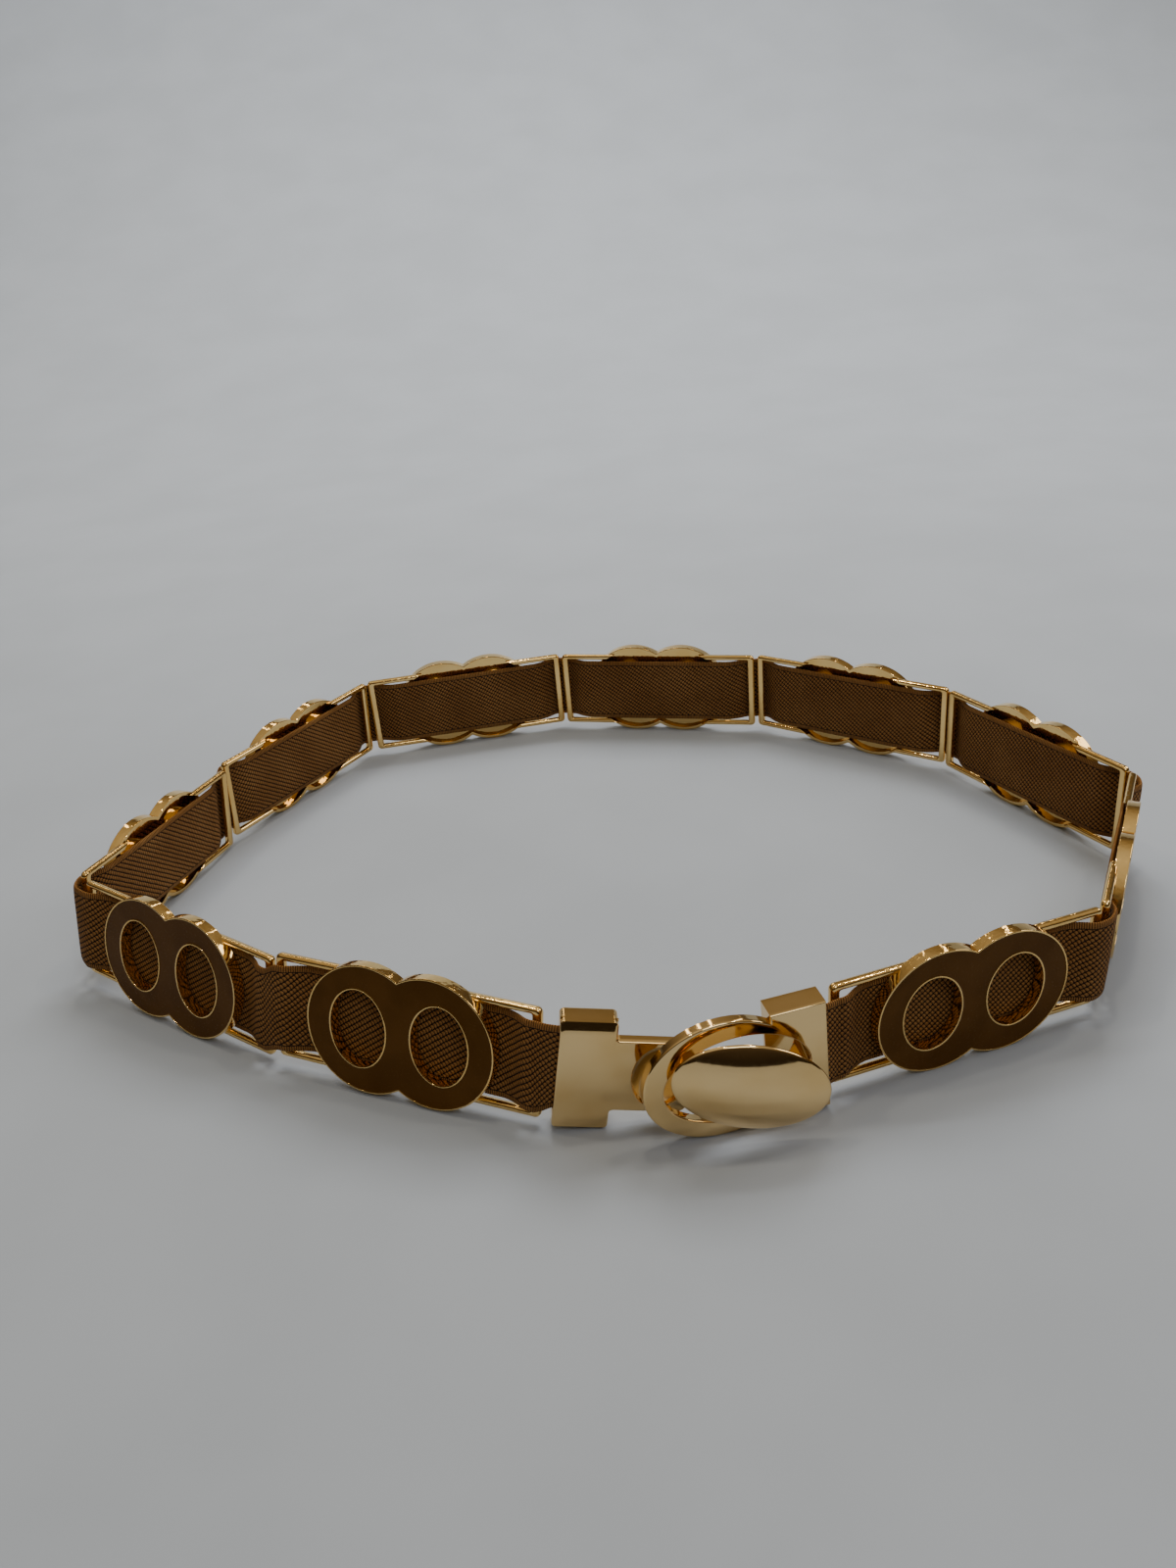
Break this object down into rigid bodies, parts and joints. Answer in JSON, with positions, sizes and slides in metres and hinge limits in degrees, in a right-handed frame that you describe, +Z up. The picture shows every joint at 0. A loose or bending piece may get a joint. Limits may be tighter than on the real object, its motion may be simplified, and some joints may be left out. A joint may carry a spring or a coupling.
{
  "type": "link belt",
  "caption": "Closed-loop belt of pierced, lobed metal links with dark enamel faces on an elastic webbing band, fastened by a ring-and-paddle clasp.",
  "frame": {"origin": "middle of the belt's footprint on the floor it stands on", "axes": "+Z up, the belt standing on its lower edge; -Y is the front, where the fastened clasp is; +X to the right as seen from the front"},
  "size_m": [0.3298, 0.2594, 0.0365],
  "materials": {
    "gold": "polished light gold plating on cast metal",
    "enamel": "glossy dark brown enamel",
    "webbing": "woven brown elastic webbing"
  },
  "bodies": {
    "root": {"link_01": "gold", "inlay_01": "enamel", "link_02": "gold", "inlay_02": "enamel", "link_03": "gold", "inlay_03": "enamel", "link_04": "gold", "inlay_04": "enamel", "link_05": "gold", "inlay_05": "enamel", "link_06": "gold", "inlay_06": "enamel", "link_07": "gold", "inlay_07": "enamel", "link_08": "gold", "inlay_08": "enamel", "link_09": "gold", "inlay_09": "enamel", "link_10": "gold", "inlay_10": "enamel", "clasp_hook": "gold", "clasp_ring": "gold", "webbing": "webbing"}
  },
  "joints": []
}
